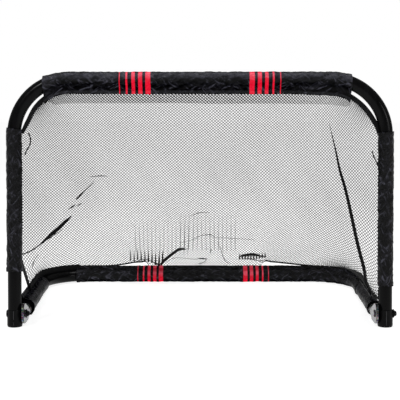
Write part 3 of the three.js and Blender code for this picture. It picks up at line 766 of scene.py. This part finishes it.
# How far inside the ground frame the net's lower edge hangs; below 0 it is outside
HEM_INSET, ARM_INSET = -0.012, {LEFT: -0.010, RIGHT: 0.002}
HEM_HEIGHT, ARM_EXTRA = 0.0195, 0.002  # above the ground frame's middle
RIPPLE = 0.0011
UNEVENNESS = (0.0055, 0.0070)  # of the knots, in shares across and down
TOP_HEM, HEM_PROUD, HEM_THREADS = 0.052, 0.002, 0.82  # share down, stand-off, thread thickness
ROW_CROWDING = 0.12  # how much closer than their mean the rows of mesh lie at the top
COLUMN_CROWDING = 0.12  # and half of how much closer its columns lie beside the posts
# How far the hem hangs above its seam on the rear bar, at distances across from the middle
HEM_LIFT = np.array([
    (-0.31, 0.006), (-0.26, 0.0065), (-0.246, 0.0078), (-0.226, 0.0105), (-0.207, 0.0135),
    (-0.190, 0.0165), (-0.168, 0.0178), (-0.157, 0.0182), (-0.150, 0.010), (-0.143, 0.002),
    (-0.136, 0.002), (0.0, 0.002), (0.165, 0.002), (0.172, 0.002), (0.179, 0.012), (0.186, 0.0190),
    (0.205, 0.0182), (0.24, 0.0149), (0.28, 0.0106), (0.305, 0.0080), (0.33, 0.006)])


def smoothstep(x, low, high):
    t = np.clip((np.asarray(x, float) - low) / (high - low), 0, 1)
    return t * t * (3 - 2 * t)


def front_line(places):
    """Where the net is sewn along the front frame."""
    away = np.abs(places)
    on_bar = smoothstep(away, front_path.on_bend(35), front_path.on_bend(5))
    on_leg = smoothstep(away, front_path.on_bend(60), front_path.bend_end + 0.01)
    inset = BEND_INSET + BAR_EXTRA * on_bar - POST_LESS * on_leg
    return front_path.offset(places, inset, 0.001 + POST_SETBACK * on_leg)


def ground_line(places):
    """Where the net's lower edge hangs along the ground frame."""
    away = np.abs(places)
    leg = smoothstep(away, ground_path.on_bend(30), ground_path.bend_end)
    lift = curve_through(places, HEM_LIFT)
    beside_leg = np.where(places < 0, ARM_INSET[LEFT], ARM_INSET[RIGHT])
    inset = HEM_INSET * (1 - leg) + beside_leg * leg
    return ground_path.offset(places, inset, HEM_HEIGHT + ARM_EXTRA * leg + lift)


def net_side_edge(side, shares):
    height, distance = NET_END[side]
    top, low = front_path.on_bend(NET_TOP_CORNER), on_post(height)
    line = front_line(side * np.interp(shares, (0, POST_SHARE), (top, low)))
    post_end = front_line(np.array([side * low]))[0]
    arm_end = ground_line(np.array([side * on_arm(distance)]))[0]
    free = np.clip((shares - POST_SHARE) / (1 - POST_SHARE), 0, 1)[:, None]
    return np.where(shares[:, None] <= POST_SHARE, line, post_end + (arm_end - post_end) * free)


def net_lower_edge(shares):
    edge = np.empty((len(shares), 3))
    for side in (LEFT, RIGHT):
        here = (shares < 0) == (side == LEFT)
        places = (0, ground_path.half_bar, ground_path.on_bend(40), ground_path.bend_end,
                  on_arm(NET_END[side][1]))
        edge[here] = ground_line(side * np.interp(np.abs(shares[here]), LOWER_SHARES, places))
    return edge


def relaxed_net():
    """The net as a taut sheet: its four edges are held and the rest settles between them."""
    across, down = np.linspace(-1, 1, ACROSS + 1), np.linspace(0, 1, DOWN + 1)
    top = front_line(across * front_path.on_bend(NET_TOP_CORNER))
    low = net_lower_edge(across)
    left, right = net_side_edge(LEFT, down), net_side_edge(RIGHT, down)
    u, v = ((across + 1) / 2)[:, None, None], down[None, :, None]
    grid = (1 - v) * top[:, None] + v * low[:, None] + (1 - u) * left[None] + u * right[None]
    grid -= (1 - u) * (1 - v) * top[0] + u * (1 - v) * top[-1] + (1 - u) * v * low[0] + u * v * low[-1]
    grid[:, 0], grid[:, -1], grid[0], grid[-1] = top, low, left, right
    for _ in range(RELAXING):
        beside = grid[2:, 1:-1] + grid[:-2, 1:-1]
        grid[1:-1, 1:-1] = (beside + grid[1:-1, 2:] + grid[1:-1, :-2]) / 4
    return grid


def normals_of(grid):
    normals = np.cross(np.gradient(grid, axis=0), np.gradient(grid, axis=1))
    return normals / np.linalg.norm(normals, axis=2)[..., None]


net_grid = relaxed_net()
net_normals = normals_of(net_grid)


def on_grid(grid, across, down):
    """Reads a grid at shares across (-1 to 1) and down (0 to 1)."""
    x, y = np.clip((across + 1) / 2, 0, 1) * ACROSS, np.clip(down, 0, 1) * DOWN
    i, j = np.minimum(x.astype(int), ACROSS - 1), np.minimum(y.astype(int), DOWN - 1)
    a, b = (x - i)[:, None], (y - j)[:, None]
    near = grid[i, j] * (1 - a) + grid[i + 1, j] * a
    far = grid[i, j + 1] * (1 - a) + grid[i + 1, j + 1] * a
    return near * (1 - b) + far * b


# Where slack net is gathered into pleats: (across, down, half width, half height, strength). First
# the sharp ones low on the left, then two soft fans above the hem, then the small ones on the right
PLEATS = [(-0.440 + 0.0225 * i, 0.942 + 0.006 * math.sin(1.9 * i), 0.0105, 0.050, 0.66 + 0.028 * i)
          for i in range(10)]
PLEATS += [(-0.40 + 0.025 * i, 0.82, 0.010, 0.12, 0.36) for i in range(14)]
PLEATS += [(-0.12 + 0.026 * i, 0.78, 0.010, 0.13, 0.40) for i in range(14)]
PLEATS += [(0.25 + 0.018 * i, 0.928, 0.008, 0.022, 0.80) for i in range(10)]


def net_point(across, down, proud=0.0):
    """A point of the net, for shares across and down it."""
    drawn = np.array(across, float)
    for middle, height, width, reach, strength in PLEATS:
        away = (across - middle) / width
        drawn -= strength * width * away * np.exp(-away ** 2 - ((down - height) / reach) ** 2)
    point, normal = on_grid(net_grid, drawn, down), on_grid(net_normals, drawn, down)
    ripple = RIPPLE * np.sin(across * 31 + 4 * np.sin(down * 7)) * np.sin(down * math.pi)
    return point + (ripple + proud)[:, None] * normal


def fold_with_frames(piece):
    """Bakes the piece's placement into its points; it follows neither frame."""
    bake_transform(piece)


# The seams, creases and loops below are points picked on the photo and carried onto the net
# or the posts with the fitted camera.
# Where the side panels are sewn to the back panel: (share down, share across)
SEAMS = {
    RIGHT: np.array([(0.0, 0.715), (0.135, 0.747), (0.257, 0.778), (0.354, 0.799), (0.448, 0.830),
                     (0.542, 0.858), (0.635, 0.882), (0.729, 0.906), (0.830, 0.931), (0.924, 0.948),
                     (1.0, 0.985)]),
    LEFT: np.array([(0.0, -0.70), (0.2, -0.66), (0.4, -0.61), (0.462, -0.618), (0.524, -0.674),
                    (0.573, -0.722), (0.667, -0.750), (0.694, -0.778), (0.733, -0.812),
                    (0.778, -0.858), (0.816, -0.896), (0.854, -0.944), (0.878, -0.999)])}


def seam_across(side, down):
    return curve_through(np.asarray(down, float), SEAMS[side])


def strands(used):
    """Runs of lattice nodes along both diagonals, as index pairs."""
    columns, rows = used.shape
    for slope in (1, -1):
        for line in range(columns + rows - 1):
            i = np.arange(max(0, line - rows + 1), min(columns, line + 1))
            j = i - line + rows - 1 if slope == 1 else line - i
            gaps = np.flatnonzero(~used[i, j])
            for run in np.split(np.arange(len(i)), gaps):
                run = run[used[i[run], j[run]]]
                if len(run) > 2:
                    yield i[run], j[run]


def thread_radius(across, down):
    """Threads look thicker low down and towards the posts, where the net is slack and doubled."""
    towards_post = smoothstep(np.abs(across), 0.45, 1.0) * smoothstep(down, 0.1, 0.7)
    return THREAD_RADIUS * (1.10 + 0.03 * smoothstep(down, 0.1, 0.6)) * (1 + 0.12 * towards_post)


def drift(across, down):
    """How unevenly the soft mesh lies: smooth shifts of its knots, in shares across and down."""
    free = np.sin(math.pi * np.clip(down, 0, 1)) * (1 - across ** 4)
    aside = np.sin(9.1 * down + 3.7 * across + 0.6) + 0.7 * np.sin(14.3 * down - 6.1 * across + 2.0)
    lower = np.sin(7.9 * across + 5.2 * down) + 0.7 * np.sin(13.1 * across - 8.3 * down + 1.1)
    return UNEVENNESS[0] * free * aside, UNEVENNESS[1] * free * lower


def net_panel(name, inside, shift=0.0, proud=0.0, thickness=1.0):
    """Threads of a diamond mesh, as open three-sided tubes, wherever inside() is true. The mesh is
    shifted by so many knots, stands so far proud, and has threads thicker by a factor."""
    i, j = np.meshgrid(np.arange(2 * CELLS_ACROSS + 1), np.arange(2 * CELLS_DOWN + 1), indexing="ij")
    across, down = (i + shift) / CELLS_ACROSS - 1, (j + shift) / (2 * CELLS_DOWN)
    across = across + COLUMN_CROWDING * across * (1 - across ** 2)
    down = down - ROW_CROWDING * down * (1 - down)
    used = ((i + j) % 2 == 0) & (np.abs(across) <= 1) & (down <= 1) & inside(across, down)
    aside, lower = drift(across, down)
    points = net_point((across + aside).ravel(), (down + lower).ravel(), proud)
    points = points.reshape(across.shape + (3,))
    radius = thickness * thread_radius(across, down)
    vertices, faces, count = [], [], 0
    for i, j in strands(used):
        line = points[i, j]
        ahead = np.gradient(line, axis=0)
        ahead /= np.linalg.norm(ahead, axis=1)[:, None]
        beside = np.cross(ahead, THREAD_SIDE)
        beside /= np.linalg.norm(beside, axis=1)[:, None]
        above = np.cross(ahead, beside)
        step = np.arange(len(line) - 1)
        for k in range(3):
            angle = k * 2 * math.pi / 3
            out = math.cos(angle) * beside + math.sin(angle) * above
            vertices.append(line + radius[i, j][:, None] * out)
            a, b = count + k * len(line) + step, count + (k + 1) % 3 * len(line) + step
            faces.append(np.stack([a, a + 1, b + 1, b], axis=1))
        count += 3 * len(line)
    made = new_object(name, np.concatenate(vertices), np.concatenate(faces).tolist(), thread)
    return made


def panel_flat(inside):
    """The flat size of the part of the net where inside() is true: its sides and its area."""
    across, down = np.linspace(-1, 1, ACROSS + 1), np.linspace(0, 1, DOWN + 1)
    here = inside(*np.meshgrid(across, down, indexing="ij"))
    wide = np.linalg.norm(np.diff(net_grid, axis=0), axis=2)
    long = np.linalg.norm(np.diff(net_grid, axis=1), axis=2)
    width, length = (wide * here[1:]).sum(0).max(), (long * here[:, 1:]).sum(1).max()
    cells = np.cross(net_grid[1:, :-1] - net_grid[:-1, :-1], net_grid[:-1, 1:] - net_grid[:-1, :-1])
    area = (np.linalg.norm(cells, axis=2) * here[1:, 1:]).sum()
    return (round(float(width), 3), round(float(length), 3)), round(float(area), 4)


def in_back(across, down):
    left, right = seam_across(LEFT, down), seam_across(RIGHT, down)
    return (across > left - SEAM_OVERLAP) & (across < right + SEAM_OVERLAP)


def in_left_side(across, down):
    return (across < seam_across(LEFT, down) + SEAM_OVERLAP) & (down <= LEFT_SEAM[0][1])


def in_right_side(across, down):
    return across > seam_across(RIGHT, down) - SEAM_OVERLAP


def in_top_hem(across, down):
    return down < TOP_HEM * (1 - smoothstep(np.abs(across), 0.85, 0.97))


def net():
    panels = [("net_back", "net_back_panel", in_back),
              ("net_left_side", "left_net_side_panel", in_left_side),
              ("net_right_side", "right_net_side_panel", in_right_side)]
    for name, node, inside in panels:
        made = net_panel(name, inside)
        flat, area = panel_flat(inside)
        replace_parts(made, node)
        fold_with_frames(made)
    made = net_panel("net_top_hem", in_top_hem, shift=0.5, proud=HEM_PROUD, thickness=HEM_THREADS)
    flat, area = panel_flat(in_top_hem)
    fold_with_frames(made)


def on_net(knots, count=60, proud=0.0008):
    """A smooth line on the net through (across, down) knots, and directions across it."""
    knots = np.array(knots)
    at = np.arange(len(knots))
    fine = np.linspace(0, len(knots) - 1, count)
    across = curve_through(fine, np.stack([at, knots[:, 0]], axis=1))
    down = curve_through(fine, np.stack([at, knots[:, 1]], axis=1))
    line = net_point(across, down, proud)
    return line, np.cross(np.gradient(line, axis=0), Y_AXIS)


THINNEST = 0.0002  # a crease or gather where it has faded
FULLNESS = 0.35  # thickness of a crease over its greatest width
GATHER_WIDTH = 0.0082


def crease(knots, widths, count=60):
    """A line of tape, or a dark strip of bunched net with painted shade, that fades to nothing where its
    width does.
    """
    line, across = on_net(knots, count)
    at = np.linspace(0, len(widths) - 1, count)
    width = curve_through(at, np.stack([np.arange(len(widths)), widths], axis=1))
    return line, across, np.maximum(width, THINNEST), FULLNESS * max(widths)


def gather_and_shade(middle, height, width, reach, strength):
    """The doubled net along one pleat, thickest at its lower end, as a solid dark strip that also paints
    the shade in the pleat.
    """
    lean = math.copysign(0.45 * width, middle)
    knots = [(middle - lean, height - reach), (middle, height), (middle + lean, height + 0.8 * reach)]
    thick = GATHER_WIDTH * strength ** 2
    return crease(knots, [THINNEST, 0.7 * thick, thick], 20)


SEAM_TAPE = {RIGHT: [0.0005, 0.0048, 0.0072, 0.0080, 0.0084, 0.0082, 0.0076],
             LEFT: [0.0022, 0.0028, 0.0034, 0.0064, 0.0092, 0.0094, 0.0064, 0.0010]}
LEFT_SEAM = [(-0.999, 0.881), (-0.944, 0.854), (-0.896, 0.816), (-0.858, 0.778), (-0.812, 0.733),
             (-0.778, 0.694), (-0.750, 0.667)]
# Lines of bunched net, as solid dark strips that also paint the shade in the folds, and one strip of
# painted shadow alone: knots as shares (across, down), and widths along the line
CREASES_AND_SHADE = [
    ([(-0.896, 0.819), (-0.844, 0.781), (-0.792, 0.738)], [0.0006, 0.0018, 0.0006]),
    ([(-0.767, 0.63), (-0.745, 0.613), (-0.729, 0.601)], [0.0010, 0.0044, 0.0014]),
    ([(-0.722, 0.612), (-0.705, 0.6), (-0.688, 0.59)], [0.0004, 0.0020, 0.0004]),
    ([(-0.722, 0.573), (-0.674, 0.524), (-0.618, 0.462)], [0.0036, 0.0034, 0.0003]),
    ([(-0.646, 0.441), (-0.59, 0.438), (-0.542, 0.438)], [0.0006, 0.0024, 0.0006]),
    ([(-0.92, 0.882), (-0.94, 0.912), (-0.955, 0.948)], [0.0008, 0.0022, 0.0012]),
    ([(-0.41, 0.998), (-0.365, 0.976), (-0.33, 0.962), (-0.312, 0.965)],
     [0.0012, 0.0018, 0.0018, 0.0006]),
    ([(-0.25, 0.985), (-0.219, 0.948), (-0.177, 0.913), (-0.135, 0.882), (-0.104, 0.877), (-0.08, 0.878)],
     [0.0060, 0.0078, 0.0084, 0.0078, 0.0050, 0.0006]),
    ([(-0.236, 0.978), (-0.16, 0.938), (-0.076, 0.941), (-0.02, 0.95)],
     [0.0006, 0.0014, 0.0014, 0.0008]),
    ([(-0.02, 0.938), (0.015, 0.941), (0.049, 0.944)], [0.0010, 0.0040, 0.0012]),
    ([(-0.005, 0.978), (0.024, 0.965), (0.056, 0.934)], [0.0030, 0.0024, 0.0006]),
    ([(0.064, 0.904), (0.068, 0.89), (0.073, 0.875)], [0.0018, 0.0028, 0.0008]),
    # painted shadow only: a dark strip for the shade near the hem, over no fold of its own
    ([(-0.32, 0.962), (-0.288, 0.976), (-0.255, 0.988)], [0.0006, 0.0036, 0.0056]),
    ([(0.243, 0.929), (0.274, 0.919), (0.337, 0.913), (0.378, 0.929), (0.431, 0.951)],
     [0.0012, 0.0062, 0.0078, 0.0046, 0.0006]),
    ([(0.267, 0.941), (0.33, 0.948), (0.403, 0.976)], [0.0008, 0.0026, 0.0022]),
    ([(-0.056, 0.663), (0.0, 0.642), (0.062, 0.635)], [0.0004, 0.0018, 0.0004]),
    ([(-0.135, 0.837), (-0.056, 0.819), (0.0, 0.788), (0.049, 0.778), (0.073, 0.781), (0.09, 0.799)],
     [0.0004, 0.0010, 0.0014, 0.0016, 0.0020, 0.0008]),
    ([(0.09, 0.799), (0.24, 0.802), (0.34, 0.812)], [0.0008, 0.0010, 0.0004]),
    ([(0.111, 0.823), (0.135, 0.89), (0.16, 0.955), (0.194, 0.976)],
     [0.0004, 0.0016, 0.0018, 0.0010])]
# Slack loops of binding beside the posts: (across, height up the posts)
POST_LOOPS = {
    LEFT: np.array([(-0.4028, 0.4517), (-0.3984, 0.4384), (-0.3999, 0.4249), (-0.4074, 0.4116),
                    (-0.4119, 0.4011)]),
    RIGHT: np.array([(0.3976, 0.4102), (0.4021, 0.3966), (0.408, 0.3847), (0.4141, 0.3698)])}


LOOP_FORWARD = 0.004  # how far in front of the frame's plane the loops lie
# Widths and thicknesses of the net's other tapes
HEM_TAPE, HEM_TAPE_NARROWING = (0.0045, 0.0014), 0.0034  # narrower where the hem is steep
EDGE_TAPE, LOOP_TAPE = (0.0075, 0.0030), (0.0028, 0.0016)


def net_trim():
    seam = SEAMS[RIGHT][1:]
    made = ribbon("right_seam_binding", [crease(seam[:, ::-1], SEAM_TAPE[RIGHT], 140)], tape_weave)
    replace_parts(made, "right_net_seam_tape")
    made = ribbon("left_seam_binding", [crease(LEFT_SEAM, SEAM_TAPE[LEFT], 100)], tape_weave)
    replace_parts(made, "left_net_seam_tape")
    # the creases and gathers are dark strips that partly paint the shade in the net's folds
    ribbon("net_creases_and_shade", [crease(*one) for one in CREASES_AND_SHADE], thread)
    ribbon("net_gathers_and_shade", [gather_and_shade(*pleat) for pleat in PLEATS], thread)
    middle = net_lower_edge(np.linspace(-0.93, 0.93, 300))
    slope = np.abs(np.gradient(middle[:, 2], middle[:, 0]))
    width = HEM_TAPE[0] - HEM_TAPE_NARROWING * smoothstep(slope, 0.3, 0.8)
    made = ribbon("hem_binding", [(middle, Z_AXIS, width, HEM_TAPE[1])], tape_weave, "ground_frame")
    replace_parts(made, "net_hem_tape")
    free = np.linspace(POST_SHARE - 0.04, 1.0, 20)
    edges = [(net_side_edge(side, free), X_AXIS, *EDGE_TAPE) for side in (LEFT, RIGHT)]
    ribbon("side_edge_binding", edges, tape_weave)
    loops = []
    for knots in POST_LOOPS.values():
        height, across = knots[:, 1][::-1], knots[:, 0][::-1]
        fine = np.linspace(height[0], height[-1], 24)
        aside = curve_through(fine, np.stack([height, across], axis=1))
        line = FOOT * (0, 1, 1) + np.outer(aside, X_AXIS) + np.outer(fine, POST_AXIS)
        loops.append((line - LOOP_FORWARD * BACKWARDS, X_AXIS, *LOOP_TAPE))
    ribbon("post_loops", loops, tape_weave, "front_frame")


# ---------- hinge and feet ----------

CAP_RADIUS = (box_of("left_foot_cap")[1] - centre_of("left_foot_cap"))[0]
MOULD_LINES = {LEFT: [(0.0045, 0.0115), (0.0175, 0.0375)], RIGHT: [(0.0035, 0.0370)]}  # heights
MOULD_LINE = (0.0010, 0.0006)  # width and thickness
MOULD_PROUD = 0.0001
NECK = (0.048, 0.095)  # where the lugs' necks start and end, behind the posts' feet
NECK_LEAD, NECK_CUTS = 0.004, 7
VALLEY_DROP, VALLEY_WIDTH, VALLEY_DEPTH = 0.008, 0.0062, 0.85  # the depth is a share of the neck's


def mould_lines():
    """The raised joint line of the mould down the front of each foot cap, in a lighter plastic that
    paints a highlight along it.
    """
    for side in (LEFT, RIGHT):
        lines = []
        for low, high in MOULD_LINES[side]:
            height = np.linspace(low, high, 8)
            line = FOOT + np.outer(height, POST_AXIS) + side * FRONT_HALF_WIDTH * X_AXIS
            line -= (CAP_RADIUS + MOULD_PROUD) * BACKWARDS
            lines.append((line, X_AXIS, *MOULD_LINE))
        made = ribbon(f"{SIDE_NAMES[side]}_cap_mould_line", lines, glint_plastic, "front_frame")


def hinge_lugs():
    """The CAD lugs, with the valley that pressing a round tube flat leaves inside its neck."""
    for side in (LEFT, RIGHT):
        name = f"{SIDE_NAMES[side]}_hinge_lug"
        node = frame["nodes"][name]
        mesh = bmesh.new()
        mesh.from_mesh(node.data)
        mesh.transform(node.matrix_world)
        start, end = (FOOT[1] + distance for distance in NECK)
        neck = [face for face in mesh.faces if start - NECK_LEAD < face.calc_center_median().y < end]
        edges = list({edge for face in neck for edge in face.edges})
        bmesh.ops.subdivide_edges(mesh, edges=edges, cuts=NECK_CUTS, use_grid_fill=True)
        bmesh.ops.triangulate(mesh, faces=mesh.faces[:])
        plate_x = np.mean([v.co.x for v in mesh.verts if v.co.y < HINGE[1]])
        for vertex in mesh.verts:
            along = min(1, max(0, (vertex.co.y - start) / (end - start)))
            reach = (vertex.co.x - plate_x) * -side
            away = (vertex.co.z - HINGE[2] + VALLEY_DROP) / VALLEY_WIDTH
            if reach > 0:
                drawn = VALLEY_DEPTH * math.exp(-away ** 2) * math.sin(math.pi * along) ** 0.7
                vertex.co.x = plate_x - side * reach * (1 - drawn)
        mesh.normal_update()
        points = [tuple(v.co) for v in mesh.verts]
        faces = [[v.index for v in face.verts] for face in mesh.faces]
        mesh.free()
        made = new_object(f"{SIDE_NAMES[side]}_lug", points, faces, zinc)
        smooth_by_angle(made, 35)
        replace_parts(made, name)
        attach(made, "ground_frame")


def finish_cad_nodes():
    """The pieces whose CAD shape is already right take their finished materials."""
    looks = {"joiner": (steel, "bare_steel"), "foot_cap": (cap_plastic, "cap_plastic"),
             "spacer": (zinc, "zinc_steel"), "washer": (zinc, "zinc_steel"),
             "bolt": (zinc, "zinc_steel"), "cap_nut": (nut_plastic, "nut_plastic")}
    for name, node in frame["nodes"].items():
        if node.hide_render:
            continue
        for ending, (material, slot_name) in looks.items():
            if name.endswith(ending):
                node.data.materials.clear()
                node.data.materials.append(material)


# ---------- floor, light and camera ----------

CAMERA_BACK, CAMERA_HEIGHT = 2.433, 0.558  # from the posts' feet
CAMERA_TILT = math.radians(6.11)
CAMERA_LENS, SENSOR = 95.13, 36.0
AROUND = 0.35  # strength of the light from all round
FLOOR_GLOW, FLOOR_REACH = 0.83, 14.0
# Lamps: (name, place, target, size, power)
LAMPS = [("key", (-1.5, -2.2, 2.4), (0, 0, 0.35), 0.7, 34),
         ("fill", (2.4, -2.0, 1.2), (0, 0, 0.3), 0.9, 14),
         ("top", (0.2, 0.4, 2.6), (0, 0.1, 0.3), 1.0, 26)]


def stage():
    corners = ((-1, -1), (1, -1), (1, 1), (-1, 1))
    floor_points = [(x * FLOOR_REACH, y * FLOOR_REACH, 0) for x, y in corners]
    n = Nodes("floor", (0.9, 0.9, 0.9), 0.9)
    n.shader.inputs["Emission Color"].default_value = (1, 1, 1, 1)
    n.shader.inputs["Emission Strength"].default_value = FLOOR_GLOW
    n.feed(Base_Color=n.ramp(n.noise(n.place(), 3.0, 2.0), (0.3, grey(0.34)), (0.7, grey(0.38))))
    floor = new_object("floor", floor_points, [[0, 1, 2, 3]], n.material)


def lamp(name, place, target, size, power):
    data = bpy.data.lights.new(name, "AREA")
    data.shape = "DISK"
    data.size = size
    data.energy = power
    made = bpy.data.objects.new(name, data)
    made.location = place
    made.rotation_euler = (Vector(target) - Vector(place)).to_track_quat("-Z", "Y").to_euler()
    bpy.context.scene.collection.objects.link(made)


def lights():
    """A white backdrop for the camera, dimmer light all round, and soft lamps."""
    world = bpy.data.worlds.new("studio")
    world.use_nodes = True
    tree = world.node_tree
    backdrop = tree.nodes["Background"]
    backdrop.inputs["Color"].default_value = (1, 1, 1, 1)
    path = tree.nodes.new("ShaderNodeLightPath")
    strength = tree.nodes.new("ShaderNodeMapRange")
    strength.inputs["To Min"].default_value = AROUND
    strength.inputs["To Max"].default_value = 1.0
    tree.links.new(path.outputs["Is Camera Ray"], strength.inputs["Value"])
    tree.links.new(strength.outputs["Result"], backdrop.inputs["Strength"])
    bpy.context.scene.world = world
    for row in LAMPS:
        lamp(*row)


def camera():
    data = bpy.data.cameras.new("camera")
    data.lens = CAMERA_LENS
    data.sensor_width = SENSOR
    made = bpy.data.objects.new("camera", data)
    made.location = (MIDDLE_X, FOOT[1] - CAMERA_BACK, CAMERA_HEIGHT)
    made.rotation_euler = (math.pi / 2 - CAMERA_TILT, 0, 0)
    bpy.context.scene.collection.objects.link(made)
    bpy.context.scene.camera = made


camera()
lights()
stage()
bpy.context.scene.view_settings.view_transform = "Standard"
tubes()
sleeves()
corner_tapes()
net()
net_trim()
mould_lines()
hinge_lugs()
finish_cad_nodes()
